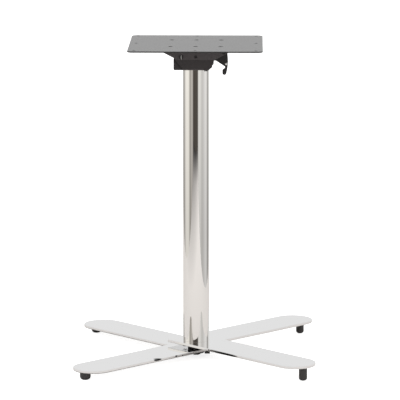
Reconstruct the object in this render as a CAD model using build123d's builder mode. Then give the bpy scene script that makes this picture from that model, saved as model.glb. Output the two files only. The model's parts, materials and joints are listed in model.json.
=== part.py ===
from build123d import *
import math
import os

os.makedirs("parts", exist_ok=True)

# All sizes are in millimetres, +Z is up and the origin lies on the floor under the column.

# Whole base
total_height = 720.0
running_clearance = 0.05
rod_clearance = 0.3

# Leg plates: two flat V plates that cross under the column
arm_angle = 45.0
arm_reach = 315.9
arm_half_width = 46.0
leg_thickness = 6.0
leg_edge_chamfer = 0.6
lower_leg_height = 19.0
leg_gap = 6.4

# Feet, under the round ends of the arms
foot_tip_inset = 21.1
glide_diameter = 24.0
glide_neck_diameter = 19.0
glide_rim_height = 11.0
glide_rounding = 6.0
tall_foot_diameter = 18.5
tall_foot_rounding = 5.5
foot_stud_diameter = 8.0
foot_stud_floor_gap = 6.0

# Rocking hub between the plates
hub_diameter = 38.0
hub_floor_gap = 8.0
hub_side_clearance = 0.7
trunnion_diameter = 8.0
trunnion_length = 20.0
bearing_height = 11.0
bearing_length = 12.0
bearing_width = 32.0
bearing_end_gap = 0.5
bearing_screw_diameter = 5.0
bearing_screw_head = 9.6
bearing_screw_spacing = 21.0

# Column and the rod that clamps it
column_diameter = 60.0
column_wall = 2.0
plug_height = 15.0
plug_clearance = 0.1
rod_diameter = 10.0
rod_nut_width = 16.0
cap_nut_height = 4.7
top_nut_height = 8.0
top_washer_diameter = 30.0
top_washer_thickness = 2.0
rod_end_beyond_nut = 3.0

# Head housing, folded from sheet
head_height = 56.0
housing_wall = 3.0
housing_half_width = 42.0
housing_bottom_left = -27.0
housing_bottom_right = 29.0
housing_left = -50.0
housing_right = 40.0
housing_end_wall_height = 24.0
housing_chamfer_height = 9.5
gusset_low_height = 9.0
gusset_right_height = 26.0
gusset_right_start = 10.0
cheek_slant_height = 26.0
cheek_bottom_right = 16.0
cheek_right_height = 20.0
cheek_stop_gap = 0.2
cheek_top_left = -22.0

# Tilt hinge
pin_x = -33.0
pin_drop = 23.0
pin_diameter = 8.0
pin_head_diameter = 9.5
pin_head_chamfer = 0.8
pin_head_thickness = 2.5
pin_tail = 3.0
pin_side_gap = 0.3
clip_diameter = 14.0
clip_thickness = 1.2
pin_boss_radius = 16.0

# Top plate
plate_side = 300.0
plate_thickness = 3.0
plate_corner_radius = 13.0
plate_edge_chamfer = 0.5
table_screw_hole = 7.0
table_screw_inset = 15.0

# Tilt brackets under the plate
bracket_wall = 3.0
bracket_side_gap = 0.5
bracket_flange_width = 30.0
bracket_half_length = 92.0
bracket_bottom_left = -49.0
bracket_bottom_right = 43.0
bracket_depth = 29.0
bracket_left_rise = 4.0
bracket_spare_hole = 7.0
bracket_spare_hole_drop = 22.0
bracket_bend_radius = 4.0
bracket_corner_radius = 6.0
bracket_screw_diameter = 6.0
bracket_screw_head = 9.6
bracket_countersink = 11.0
bracket_socket_width = 4.0
bracket_socket_depth = 1.6
bracket_screw_spacing = 56.0
bracket_screw_row = 60.0
bracket_screw_length = 14.0
bracket_nut_width = 10.0
bracket_nut_height = 5.0

# Rubber pads that the plate rests on
pad_thickness = 3.0
pad_length = 14.0
pad_width = 8.0
pad_x = 30.0

# Latch
latch_x = 63.0
latch_drop = 12.0
latch_pin_diameter = 6.0
latch_pin_head = 9.0
latch_pin_head_thickness = 1.2
lever_y = -31.0
lever_thickness = 8.0
lever_hub_radius = 7.0
nose_gap = 0.4
nose_drop = 18.5
strike_thickness = 3.0
strike_top = 35.0
strike_bend = 13.2
strike_foot_start = 18.0
strike_foot_bend = 30.2
strike_side_gap = 0.2
strike_slot_height = 13.0
strike_slot_rise = 3.0
strike_slot_clearance = 0.5
strike_screw_x = 23.75
strike_screw_y = 31.0
strike_screw_diameter = 4.0
strike_screw_head = 6.0
strike_screw_head_height = 3.0
strike_screw_tail = 1.0
strike_nut_width = 7.0
strike_nut_height = 3.2
rivet_diameter = 4.0
rivet_head_diameter = 6.0
rivet_head_thickness = 1.5
rivet_head_chamfer = 0.6
rivet_x = 68.0
rivet_drop = 38.7
rivet_tail = 3.5
spring_wire = 1.4
spring_radius = 5.2
spring_pitch = 1.7
spring_whole_turns = 5
spring_steps_per_turn = 16
spring_side_gap = 2.1
spring_plate_reach = 15.0
sleeve_diameter = 9.5
sleeve_wall = 1.6
sleeve_end_gap = 0.2
sleeve_spring_gap = 0.7

# Heights that follow from the driving sizes
lower_leg_top = lower_leg_height + leg_thickness
upper_leg_bottom = lower_leg_top + leg_gap
upper_leg_top = upper_leg_bottom + leg_thickness
column_top = total_height - head_height
plate_bottom = total_height - plate_thickness
pin_z = plate_bottom - pin_drop
web_top = column_top + housing_wall
pivot_z = lower_leg_height - bearing_height / 2
latch_z = plate_bottom - latch_drop
bracket_inner = housing_half_width + bracket_side_gap
bracket_outer = bracket_inner + bracket_wall
rod_hole_radius = rod_diameter / 2 + rod_clearance
foot_reach = arm_reach + arm_half_width - foot_tip_inset


def arm_point(along, across, side, way=1):
    """A point of an arm in plan, along its centre line and across it."""
    angle = math.radians(arm_angle)
    x = along * math.cos(angle) - across * math.sin(angle)
    y = along * math.sin(angle) + across * math.cos(angle)
    return (side * x, way * y)


def leg_half_outline(side):
    """Half of a V plate: apex, straight outer edge, round end, straight inner edge, notch."""
    apex_x = side * arm_half_width / math.sin(math.radians(arm_angle))
    outer_end = arm_point(arm_reach, arm_half_width, side)
    inner_end = arm_point(arm_reach, -arm_half_width, side)
    Line((-apex_x, 0), outer_end)
    ThreePointArc(outer_end, arm_point(arm_reach + arm_half_width, 0, side), inner_end)
    Line(inner_end, (apex_x, 0))


def hexagon(width):
    """A hexagon given by its width across flats."""
    RegularPolygon(width / 2, 6, major_radius=False)


# Upper leg plate, which carries the column and reaches to the right
with BuildPart() as leg_plate_upper:
    with BuildSketch(Plane.XY.offset(upper_leg_bottom)):
        with BuildLine():
            leg_half_outline(1)
            mirror(about=Plane.XZ)
        make_face()
        Circle(rod_hole_radius, mode=Mode.SUBTRACT)
    extrude(amount=leg_thickness)
    upper_faces = leg_plate_upper.faces().filter_by(Axis.Z).sort_by(Axis.Z)
    chamfer(upper_faces[0].outer_wire().edges() + upper_faces[-1].outer_wire().edges(), leg_edge_chamfer)
leg_plate_upper.part.label = "leg_plate_upper"
export_step(leg_plate_upper.part, "parts/leg_plate_upper.step")

# Places of the two trunnion bearings and their screws
bearing_mid_x = hub_diameter / 2 + bearing_end_gap + bearing_length / 2
bearing_screw_places = [
    (side * bearing_mid_x, way * bearing_screw_spacing / 2) for side in (-1, 1) for way in (-1, 1)
]

# Lower leg plate, which rocks on the hub and reaches to the left
with BuildPart() as leg_plate_lower:
    with BuildSketch(Plane.XY.offset(lower_leg_height)):
        with BuildLine():
            leg_half_outline(-1)
            mirror(about=Plane.XZ)
        make_face()
        Circle(hub_diameter / 2 + hub_side_clearance, mode=Mode.SUBTRACT)
    extrude(amount=leg_thickness)
    lower_faces = leg_plate_lower.faces().filter_by(Axis.Z).sort_by(Axis.Z)
    chamfer(lower_faces[0].outer_wire().edges() + lower_faces[-1].outer_wire().edges(), leg_edge_chamfer)
    with Locations(Plane.XY.offset(lower_leg_top)):
        with Locations(bearing_screw_places):
            CounterSinkHole(
                bearing_screw_diameter / 2 + running_clearance,
                bearing_screw_head / 2 + running_clearance,
                depth=leg_thickness,
                counter_sink_angle=90,
            )
leg_plate_lower.part.label = "leg_plate_lower"
export_step(leg_plate_lower.part, "parts/leg_plate_lower.step")

# Rocking hub, a turned block under the upper plate that passes through the lower one
with BuildPart() as pivot_block:
    with BuildSketch(Plane.XY.offset(hub_floor_gap)):
        Circle(hub_diameter / 2)
        Circle(rod_hole_radius, mode=Mode.SUBTRACT)
    extrude(amount=upper_leg_bottom - hub_floor_gap)
    with BuildSketch(Plane.YZ.offset(-hub_diameter / 2)):
        with Locations((0, pivot_z)):
            Circle(trunnion_diameter / 2 + running_clearance)
    extrude(amount=hub_diameter, mode=Mode.SUBTRACT)
    chamfer(pivot_block.faces().sort_by(Axis.Z)[0].outer_wire().edges(), 1)
pivot_block.part.label = "pivot_block"
export_step(pivot_block.part, "parts/pivot_block.step")

# Trunnion pins and the bearing blocks that hang on them, one pair each side of the rod
trunnion_end = hub_diameter / 2 + bearing_end_gap + bearing_length
for hand, side in (("left", -1), ("right", 1)):
    with BuildPart() as trunnion_pin:
        with BuildSketch(Plane.YZ.offset(side * trunnion_end)):
            with Locations((0, pivot_z)):
                Circle(trunnion_diameter / 2)
        extrude(amount=-side * trunnion_length)
        chamfer(trunnion_pin.edges().filter_by(GeomType.CIRCLE), 0.5)
    trunnion_pin.part.label = f"trunnion_pin_{hand}"
    export_step(trunnion_pin.part, f"parts/trunnion_pin_{hand}.step")

    with BuildPart() as bearing_block:
        with BuildSketch(Plane.XY.offset(lower_leg_height - bearing_height)):
            with Locations((side * bearing_mid_x, 0)):
                Rectangle(bearing_length, bearing_width)
        extrude(amount=bearing_height)
        fillet(bearing_block.edges().filter_by(Axis.Z), 2)
        with BuildSketch(Plane.YZ.offset(side * (trunnion_end - bearing_length))):
            with Locations((0, pivot_z)):
                Circle(trunnion_diameter / 2 + running_clearance)
        extrude(amount=side * bearing_length, mode=Mode.SUBTRACT)
        with BuildSketch(Plane.XY.offset(lower_leg_height)):
            with Locations([place for place in bearing_screw_places if place[0] * side > 0]):
                Circle(bearing_screw_diameter / 2 + running_clearance)
        extrude(amount=-bearing_height, mode=Mode.SUBTRACT)
    bearing_block.part.label = f"bearing_block_{hand}"
    export_step(bearing_block.part, f"parts/bearing_block_{hand}.step")

# Countersunk screws that hold the bearing blocks under the lower plate
with BuildPart() as bearing_screws:
    screw_length = leg_thickness + bearing_height - 1
    with BuildSketch(Plane.XY.offset(lower_leg_top - screw_length)):
        with Locations(bearing_screw_places):
            Circle(bearing_screw_diameter / 2)
    extrude(amount=screw_length)
    with Locations(Plane.XY.offset(lower_leg_top)):
        with Locations(bearing_screw_places):
            Cone(
                bearing_screw_diameter / 2,
                bearing_screw_head / 2,
                (bearing_screw_head - bearing_screw_diameter) / 2,
                align=(Align.CENTER, Align.CENTER, Align.MAX),
            )
bearing_screws.part.label = "bearing_screws"
export_step(bearing_screws.part, "parts/bearing_screws.step")

# Feet and their studs: low glides under the lower plate, tall feet under the upper one
foot_bore_radius = foot_stud_diameter / 2 + running_clearance
for hand, side, plate_height in (("left", -1, lower_leg_height), ("right", 1, upper_leg_bottom)):
    if side < 0:
        foot_radius, foot_rounding = glide_diameter / 2, glide_rounding
        foot_top_radius = glide_neck_diameter / 2
        foot_shoulder = [(foot_radius, glide_rim_height), (foot_top_radius, glide_rim_height)]
    else:
        foot_radius, foot_rounding = tall_foot_diameter / 2, tall_foot_rounding
        foot_top_radius = foot_radius
        foot_shoulder = []
    rounding_inset = foot_rounding * (1 - math.sqrt(0.5))
    for end, way in (("front", -1), ("rear", 1)):
        foot_x, foot_y = arm_point(foot_reach, 0, side, way)
        with BuildPart() as foot:
            with BuildSketch(Plane((foot_x, foot_y, 0), x_dir=(1, 0, 0), z_dir=(0, -1, 0))):
                with BuildLine():
                    Polyline(
                        (0, foot_stud_floor_gap),
                        (0, 0),
                        (foot_radius - foot_rounding, 0),
                        (foot_radius - rounding_inset, rounding_inset),
                        (foot_radius, foot_rounding),
                        *foot_shoulder,
                        (foot_top_radius, plate_height),
                        (foot_bore_radius, plate_height),
                        (foot_bore_radius, foot_stud_floor_gap),
                        close=True,
                    )
                make_face()
            revolve(axis=Axis((foot_x, foot_y, 0), (0, 0, 1)))
        foot.part.label = f"foot_{hand}_{end}"
        export_step(foot.part, f"parts/foot_{hand}_{end}.step")

    with BuildPart() as foot_studs:
        with BuildSketch(Plane.XY.offset(foot_stud_floor_gap)):
            with Locations([arm_point(foot_reach, 0, side, way) for way in (-1, 1)]):
                Circle(foot_stud_diameter / 2)
        extrude(amount=plate_height - foot_stud_floor_gap)
    foot_studs.part.label = f"foot_studs_{hand}"
    export_step(foot_studs.part, f"parts/foot_studs_{hand}.step")

# Column tube, standing on the upper leg plate
with BuildPart() as column_tube:
    with BuildSketch(Plane.XY.offset(upper_leg_top)):
        Circle(column_diameter / 2)
        Circle(column_diameter / 2 - column_wall, mode=Mode.SUBTRACT)
    extrude(amount=column_top - upper_leg_top)
column_tube.part.label = "column_tube"
export_step(column_tube.part, "parts/column_tube.step")

# Plugs that centre the tube on the rod, flush with its two ends
plug_radius = column_diameter / 2 - column_wall - plug_clearance
for plug_name, plug_height_start in (
    ("column_base_plug", upper_leg_top),
    ("column_top_plug", column_top - plug_height),
):
    with BuildPart() as column_plug:
        with BuildSketch(Plane.XY.offset(plug_height_start)):
            Circle(plug_radius)
            Circle(rod_hole_radius, mode=Mode.SUBTRACT)
        extrude(amount=plug_height)
    column_plug.part.label = plug_name
    export_step(column_plug.part, f"parts/{plug_name}.step")

# Tie rod from the cap nut under the hub to the nut inside the head housing
rod_bottom = hub_floor_gap - cap_nut_height + 1
rod_top = web_top + top_washer_thickness + top_nut_height + rod_end_beyond_nut
with BuildPart() as tie_rod:
    with BuildSketch(Plane.XY.offset(rod_bottom)):
        Circle(rod_diameter / 2)
    extrude(amount=rod_top - rod_bottom)
    chamfer(tie_rod.edges().filter_by(GeomType.CIRCLE), 1)
tie_rod.part.label = "tie_rod"
export_step(tie_rod.part, "parts/tie_rod.step")

with BuildPart() as tie_rod_cap_nut:
    with BuildSketch(Plane.XY.offset(hub_floor_gap - cap_nut_height)):
        hexagon(rod_nut_width)
    extrude(amount=cap_nut_height)
    with BuildSketch(Plane.XY.offset(rod_bottom)):
        Circle(rod_diameter / 2 + running_clearance)
    extrude(amount=cap_nut_height, mode=Mode.SUBTRACT)
tie_rod_cap_nut.part.label = "tie_rod_cap_nut"
export_step(tie_rod_cap_nut.part, "parts/tie_rod_cap_nut.step")

with BuildPart() as tie_rod_washer:
    with BuildSketch(Plane.XY.offset(web_top)):
        Circle(top_washer_diameter / 2)
        Circle(rod_hole_radius, mode=Mode.SUBTRACT)
    extrude(amount=top_washer_thickness)
tie_rod_washer.part.label = "tie_rod_washer"
export_step(tie_rod_washer.part, "parts/tie_rod_washer.step")

with BuildPart() as tie_rod_top_nut:
    with BuildSketch(Plane.XY.offset(web_top + top_washer_thickness)):
        hexagon(rod_nut_width)
        Circle(rod_diameter / 2 + running_clearance, mode=Mode.SUBTRACT)
    extrude(amount=top_nut_height)
tie_rod_top_nut.part.label = "tie_rod_top_nut"
export_step(tie_rod_top_nut.part, "parts/tie_rod_top_nut.step")

# Head housing: folded sheet with a web on the column, a left end wall and two cheeks, and with
# gussets inside the cheeks that close its corners
cheek_inner = housing_half_width - housing_wall
cheek_top = plate_bottom - pad_thickness - cheek_stop_gap
strike_inner_x = housing_right - strike_thickness
housing_chamfer_slope = housing_chamfer_height / (housing_right - housing_bottom_right)
strike_screw_places = [(strike_screw_x, way * strike_screw_y) for way in (-1, 1)]
with BuildPart() as head_housing:
    with BuildSketch(Plane.XY.offset(column_top)):
        with BuildLine():
            Polyline(
                (housing_left, 0),
                (housing_left, cheek_inner),
                (housing_bottom_left, cheek_inner),
                (housing_bottom_left, housing_half_width),
                (cheek_bottom_right, housing_half_width),
                (cheek_bottom_right, cheek_inner),
                (housing_bottom_right, cheek_inner),
                (housing_bottom_right, 0),
            )
            mirror(about=Plane.XZ)
        make_face()
        Circle(rod_hole_radius, mode=Mode.SUBTRACT)
        with Locations(strike_screw_places):
            Circle(strike_screw_diameter / 2 + running_clearance, mode=Mode.SUBTRACT)
    extrude(amount=housing_wall)
    for side in (-1, 1):
        with BuildSketch(Plane.XZ.offset(side * cheek_inner)):
            with BuildLine():
                boss_left = (pin_x - pin_boss_radius, pin_z)
                boss_top = (pin_x, pin_z + pin_boss_radius)
                boss_mid = (
                    pin_x - pin_boss_radius * math.sqrt(0.5),
                    pin_z + pin_boss_radius * math.sqrt(0.5),
                )
                Polyline(
                    boss_left,
                    (pin_x - pin_boss_radius, column_top + cheek_slant_height),
                    (housing_bottom_left, column_top),
                    (cheek_bottom_right, column_top),
                    (housing_right, column_top + cheek_right_height),
                    (housing_right, cheek_top),
                    (cheek_top_left, cheek_top),
                    boss_top,
                )
                ThreePointArc(boss_top, boss_mid, boss_left)
            make_face()
            with Locations((pin_x, pin_z)):
                Circle(pin_diameter / 2 + running_clearance, mode=Mode.SUBTRACT)
        extrude(amount=side * housing_wall)
        with BuildSketch(Plane.XZ.offset(side * cheek_inner)):
            with BuildLine():
                Polyline(
                    (housing_left, column_top),
                    (housing_left, column_top + housing_end_wall_height),
                    (housing_left + housing_wall, column_top + housing_end_wall_height),
                    (housing_bottom_left, column_top + gusset_low_height),
                    (housing_bottom_left, column_top),
                    close=True,
                )
            make_face()
            with BuildLine():
                Polyline(
                    (gusset_right_start, column_top),
                    (housing_bottom_right, column_top),
                    (
                        strike_inner_x,
                        column_top + housing_chamfer_slope * (strike_inner_x - housing_bottom_right),
                    ),
                    (strike_inner_x, column_top + gusset_right_height),
                    (gusset_right_start, column_top + gusset_right_height),
                    close=True,
                )
            make_face()
        extrude(amount=-side * housing_wall)
    with BuildSketch(Plane.XY.offset(column_top)):
        with Locations((housing_left + housing_wall / 2, 0)):
            Rectangle(housing_wall, 2 * cheek_inner)
    extrude(amount=housing_end_wall_height)
    web_edges = head_housing.edges().group_by(Axis.Z)[0]
    fillet(
        web_edges.filter_by(Axis.X).group_by(Axis.Y)[0]
        + web_edges.filter_by(Axis.X).group_by(Axis.Y)[-1]
        + web_edges.filter_by(Axis.Y).sort_by(Axis.X)[0:1],
        housing_wall - 0.5,
    )
head_housing.part.label = "head_housing"
export_step(head_housing.part, "parts/head_housing.step")

# Strike plate: a folded strip that stands on the web and carries the slot for the latch's nose
strike_bend_slope = (strike_bend - housing_wall) / (housing_right - strike_foot_bend)
strike_bend_half = math.atan(strike_bend_slope) / 2
strike_bend_rise = strike_thickness * math.tan(math.pi / 4 - strike_bend_half)
strike_foot_shift = strike_thickness * math.tan(strike_bend_half)
with BuildPart() as strike_plate:
    with BuildSketch(Plane.XZ):
        with BuildLine():
            Polyline(
                (housing_right, column_top + strike_top),
                (housing_right, column_top + strike_bend),
                (strike_foot_bend, web_top),
                (strike_foot_start, web_top),
                (strike_foot_start, web_top + strike_thickness),
                (strike_foot_bend - strike_foot_shift, web_top + strike_thickness),
                (strike_inner_x, column_top + strike_bend + strike_bend_rise),
                (strike_inner_x, column_top + strike_top),
                close=True,
            )
        make_face()
    extrude(amount=cheek_inner - housing_wall - strike_side_gap, both=True)
    with BuildSketch(Plane.YZ.offset(strike_inner_x)):
        with Locations((0, column_top + (strike_bend + strike_top) / 2)):
            Rectangle(2 * cheek_inner, strike_top - strike_bend)
    extrude(amount=strike_thickness)
    with BuildSketch(Plane.YZ.offset(strike_inner_x)):
        with Locations((lever_y, latch_z - nose_drop + strike_slot_rise)):
            Rectangle(lever_thickness + 2 * strike_slot_clearance, strike_slot_height)
    extrude(amount=strike_thickness, mode=Mode.SUBTRACT)
    with BuildSketch(Plane.XY.offset(web_top)):
        with Locations(strike_screw_places):
            Circle(strike_screw_diameter / 2 + running_clearance)
    extrude(amount=strike_thickness, mode=Mode.SUBTRACT)
strike_plate.part.label = "strike_plate"
export_step(strike_plate.part, "parts/strike_plate.step")

# Screws up through the web and the strike plate's foot, and their nuts
strike_foot_top = web_top + strike_thickness
with BuildPart() as strike_screws:
    with BuildSketch(Plane.XY.offset(column_top - strike_screw_head_height)):
        with Locations(strike_screw_places):
            Circle(strike_screw_head / 2)
    extrude(amount=strike_screw_head_height)
    with BuildSketch(Plane.XY.offset(column_top)):
        with Locations(strike_screw_places):
            Circle(strike_screw_diameter / 2)
    extrude(amount=strike_foot_top + strike_nut_height + strike_screw_tail - column_top)
strike_screws.part.label = "strike_screws"
export_step(strike_screws.part, "parts/strike_screws.step")

with BuildPart() as strike_nuts:
    with BuildSketch(Plane.XY.offset(strike_foot_top)):
        with Locations(strike_screw_places):
            hexagon(strike_nut_width)
        with Locations(strike_screw_places):
            Circle(strike_screw_diameter / 2 + running_clearance, mode=Mode.SUBTRACT)
    extrude(amount=strike_nut_height)
strike_nuts.part.label = "strike_nuts"
export_step(strike_nuts.part, "parts/strike_nuts.step")

# Hinge pin through both cheeks and both brackets, headed in front and clipped behind
with BuildPart() as hinge_pin:
    with BuildSketch(Plane.XZ.offset(bracket_outer + pin_side_gap)):
        with Locations((pin_x, pin_z)):
            Circle(pin_head_diameter / 2)
    extrude(amount=pin_head_thickness)
    chamfer(hinge_pin.edges().sort_by(Axis.Y)[0], pin_head_chamfer)
    with BuildSketch(Plane.XZ.offset(bracket_outer + pin_side_gap)):
        with Locations((pin_x, pin_z)):
            Circle(pin_diameter / 2)
    extrude(amount=-(2 * (bracket_outer + pin_side_gap) + clip_thickness + pin_tail))
hinge_pin.part.label = "hinge_pin"
export_step(hinge_pin.part, "parts/hinge_pin.step")

with BuildPart() as hinge_pin_clip:
    with BuildSketch(Plane.XZ.offset(-(bracket_outer + pin_side_gap))):
        with Locations((pin_x, pin_z)):
            Circle(clip_diameter / 2)
            Circle(pin_diameter / 2 + running_clearance, mode=Mode.SUBTRACT)
    extrude(amount=-clip_thickness)
hinge_pin_clip.part.label = "hinge_pin_clip"
export_step(hinge_pin_clip.part, "parts/hinge_pin_clip.step")

# Top plate with its table screw holes and the countersinks for the bracket screws
bracket_screw_places = [
    (column * bracket_screw_spacing, way * bracket_screw_row) for way in (-1, 1) for column in (-1, 0, 1)
]
table_screw_pitch = plate_side / 2 - table_screw_inset
table_screw_places = [
    (column * table_screw_pitch, row * table_screw_pitch)
    for column in (-1, 0, 1)
    for row in (-1, 0, 1)
    if (column, row) != (0, 0)
]
with BuildPart() as top_plate:
    with BuildSketch(Plane.XY.offset(plate_bottom)):
        RectangleRounded(plate_side, plate_side, plate_corner_radius)
        with Locations(table_screw_places):
            Circle(table_screw_hole / 2, mode=Mode.SUBTRACT)
    extrude(amount=plate_thickness)
    plate_faces = top_plate.faces().filter_by(Axis.Z).sort_by(Axis.Z)
    chamfer(plate_faces[0].outer_wire().edges() + plate_faces[-1].outer_wire().edges(), plate_edge_chamfer)
    with Locations(Plane.XY.offset(total_height)):
        with Locations(bracket_screw_places):
            CounterSinkHole(
                bracket_screw_diameter / 2 + running_clearance,
                bracket_countersink / 2,
                depth=plate_thickness,
                counter_sink_angle=90,
            )
top_plate.part.label = "top_plate"
export_step(top_plate.part, "parts/top_plate.step")

# Tilt brackets: folded angles with an outward flange under the plate and a tapered cheek
bracket_bottom = plate_bottom - bracket_depth
for end, side in (("front", 1), ("rear", -1)):
    with BuildPart() as tilt_bracket:
        with BuildSketch(Plane.XZ.offset(side * bracket_inner)):
            with BuildLine():
                Polyline(
                    (-bracket_half_length, plate_bottom),
                    (-bracket_half_length, plate_bottom - bracket_wall),
                    (bracket_bottom_left, bracket_bottom + bracket_left_rise),
                    (bracket_bottom_left + bracket_left_rise, bracket_bottom),
                    (bracket_bottom_right, bracket_bottom),
                    (bracket_half_length, plate_bottom - bracket_wall),
                    (bracket_half_length, plate_bottom),
                    close=True,
                )
            make_face()
            with Locations((pin_x, pin_z)):
                Circle(pin_diameter / 2 + running_clearance, mode=Mode.SUBTRACT)
            with Locations((0, plate_bottom - bracket_spare_hole_drop)):
                Circle(bracket_spare_hole / 2, mode=Mode.SUBTRACT)
            with Locations((latch_x, latch_z)):
                Circle(latch_pin_diameter / 2 + running_clearance, mode=Mode.SUBTRACT)
        extrude(amount=side * bracket_wall)
        with BuildSketch(Plane.XY.offset(plate_bottom - bracket_wall)):
            with Locations((0, -side * (bracket_inner + bracket_flange_width / 2))):
                Rectangle(2 * bracket_half_length, bracket_flange_width)
        extrude(amount=bracket_wall)
        outer_corners = tilt_bracket.edges().filter_by(Axis.Z).group_by(Axis.Y)
        fillet(outer_corners[0] if side > 0 else outer_corners[-1], bracket_corner_radius)
        long_edges = tilt_bracket.edges().filter_by(Axis.X)
        top_edges = long_edges.filter_by_position(Axis.Z, plate_bottom - 0.01, plate_bottom + 0.01)
        fillet(top_edges.sort_by(lambda edge: abs(edge.center().Y))[0], bracket_bend_radius)
        with Locations(Plane.XY.offset(plate_bottom)):
            with Locations([place for place in bracket_screw_places if place[1] * side < 0]):
                Hole(bracket_screw_diameter / 2 + running_clearance, depth=bracket_wall)
    tilt_bracket.part.label = f"tilt_bracket_{end}"
    export_step(tilt_bracket.part, f"parts/tilt_bracket_{end}.step")

# Countersunk screws and nuts that hold the brackets to the plate, sunk a little below its face
bracket_screw_top = total_height - (bracket_countersink - bracket_screw_head) / 2
with BuildPart() as bracket_screws:
    with BuildSketch(Plane.XY.offset(bracket_screw_top - bracket_screw_length)):
        with Locations(bracket_screw_places):
            Circle(bracket_screw_diameter / 2)
    extrude(amount=bracket_screw_length)
    with Locations(Plane.XY.offset(bracket_screw_top)):
        with Locations(bracket_screw_places):
            Cone(
                bracket_screw_diameter / 2,
                bracket_screw_head / 2,
                (bracket_screw_head - bracket_screw_diameter) / 2,
                align=(Align.CENTER, Align.CENTER, Align.MAX),
            )
    with BuildSketch(Plane.XY.offset(bracket_screw_top)):
        with Locations(bracket_screw_places):
            hexagon(bracket_socket_width)
    extrude(amount=-bracket_socket_depth, mode=Mode.SUBTRACT)
bracket_screws.part.label = "bracket_screws"
export_step(bracket_screws.part, "parts/bracket_screws.step")

with BuildPart() as bracket_nuts:
    with BuildSketch(Plane.XY.offset(plate_bottom - bracket_wall)):
        with Locations(bracket_screw_places):
            hexagon(bracket_nut_width)
        with Locations(bracket_screw_places):
            Circle(bracket_screw_diameter / 2 + running_clearance, mode=Mode.SUBTRACT)
    extrude(amount=-bracket_nut_height)
bracket_nuts.part.label = "bracket_nuts"
export_step(bracket_nuts.part, "parts/bracket_nuts.step")

# Rubber pads under the plate, which land on the tops of the cheeks
with BuildPart() as rest_pads:
    with BuildSketch(Plane.XY.offset(plate_bottom - pad_thickness)):
        with Locations([(pad_x, way * (housing_half_width - pad_width / 2)) for way in (-1, 1)]):
            Rectangle(pad_length, pad_width)
    extrude(amount=pad_thickness)
rest_pads.part.label = "rest_pads"
export_step(rest_pads.part, "parts/rest_pads.step")

# Latch lever: hub on the cross pin, nose to the left, curved tail with a finger hook
lever_front = lever_y - lever_thickness / 2
nose_x = housing_right + nose_gap
nose_z = latch_z - nose_drop
with BuildPart() as latch_lever:
    with BuildSketch(Plane.XZ.offset(-lever_front)):
        with BuildLine():
            hub_right = (latch_x + lever_hub_radius, latch_z)
            hub_top = (latch_x + 1.5, latch_z + lever_hub_radius * 0.977)
            hub_left = (latch_x - 5.5, latch_z + lever_hub_radius * 0.619)
            tail_outer = (latch_x + 9, latch_z - 24)
            tail_low = (latch_x + 5.6, latch_z - 47.5)
            hook_low = (latch_x + 1.1, latch_z - 52)
            hook_tip = (latch_x - 3.4, latch_z - 47.5)
            ThreePointArc(hub_left, hub_top, hub_right)
            ThreePointArc(hub_right, tail_outer, tail_low)
            ThreePointArc(tail_low, hook_low, hook_tip)
            Polyline(
                hook_tip,
                (latch_x - 3.4, latch_z - 41),
                (latch_x + 2.4, latch_z - 36.7),
                (latch_x + 2.4, latch_z - 33.2),
                (latch_x - 18, nose_z - 1.3),
                (nose_x, nose_z - 1.3),
                (nose_x, nose_z + 1.3),
                hub_left,
            )
        make_face()
        with Locations((latch_x, latch_z)):
            Circle(latch_pin_diameter / 2 + running_clearance, mode=Mode.SUBTRACT)
        with Locations((rivet_x, plate_bottom - rivet_drop)):
            Circle(rivet_diameter / 2 + running_clearance, mode=Mode.SUBTRACT)
    extrude(amount=-lever_thickness)
latch_lever.part.label = "latch_lever"
export_step(latch_lever.part, "parts/latch_lever.step")

with BuildPart() as latch_rivet:
    with BuildSketch(Plane.XZ.offset(-lever_front)):
        with Locations((rivet_x, plate_bottom - rivet_drop)):
            Circle(rivet_head_diameter / 2)
    extrude(amount=rivet_head_thickness)
    chamfer(latch_rivet.edges().sort_by(Axis.Y)[0], rivet_head_chamfer)
    with BuildSketch(Plane.XZ.offset(-lever_front)):
        with Locations((rivet_x, plate_bottom - rivet_drop)):
            Circle(rivet_diameter / 2)
    extrude(amount=-(lever_thickness + rivet_tail))
latch_rivet.part.label = "latch_rivet"
export_step(latch_rivet.part, "parts/latch_rivet.step")

with BuildPart() as latch_pivot_pin:
    with BuildSketch(Plane.XZ.offset(bracket_outer)):
        with Locations((latch_x, latch_z)):
            Circle(latch_pin_diameter / 2)
    extrude(amount=-2 * bracket_outer)
    for side in (-1, 1):
        with BuildSketch(Plane.XZ.offset(side * bracket_outer)):
            with Locations((latch_x, latch_z)):
                Circle(latch_pin_head / 2)
        extrude(amount=side * latch_pin_head_thickness)
latch_pivot_pin.part.label = "latch_pivot_pin"
export_step(latch_pivot_pin.part, "parts/latch_pivot_pin.step")

# Torsion spring round the cross pin: one leg pushes on the rivet, the other on the plate
lever_back = lever_y + lever_thickness / 2
spring_start_y = lever_back + spring_wire / 2 + spring_side_gap
rivet_leg_x = rivet_x - latch_x + (rivet_diameter + spring_wire) / 2 + running_clearance
rivet_leg_z = plate_bottom - rivet_drop - latch_z
plate_leg_z = plate_bottom - spring_wire / 2 - latch_z
rivet_leg_span = math.hypot(rivet_leg_x, rivet_leg_z)
plate_leg_span = math.hypot(spring_plate_reach, plate_leg_z)
start_angle = 90 + math.degrees(
    math.atan2(rivet_leg_z, rivet_leg_x) - math.asin(spring_radius / rivet_leg_span)
)
end_angle = -90 + math.degrees(
    math.atan2(plate_leg_z, spring_plate_reach) + math.asin(spring_radius / plate_leg_span)
)
spring_turns = spring_whole_turns + (end_angle - start_angle) / 360
spring_steps = math.ceil(spring_turns * spring_steps_per_turn)
rivet_leg = math.sqrt(rivet_leg_span**2 - spring_radius**2)
plate_leg = math.sqrt(plate_leg_span**2 - spring_radius**2)


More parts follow.
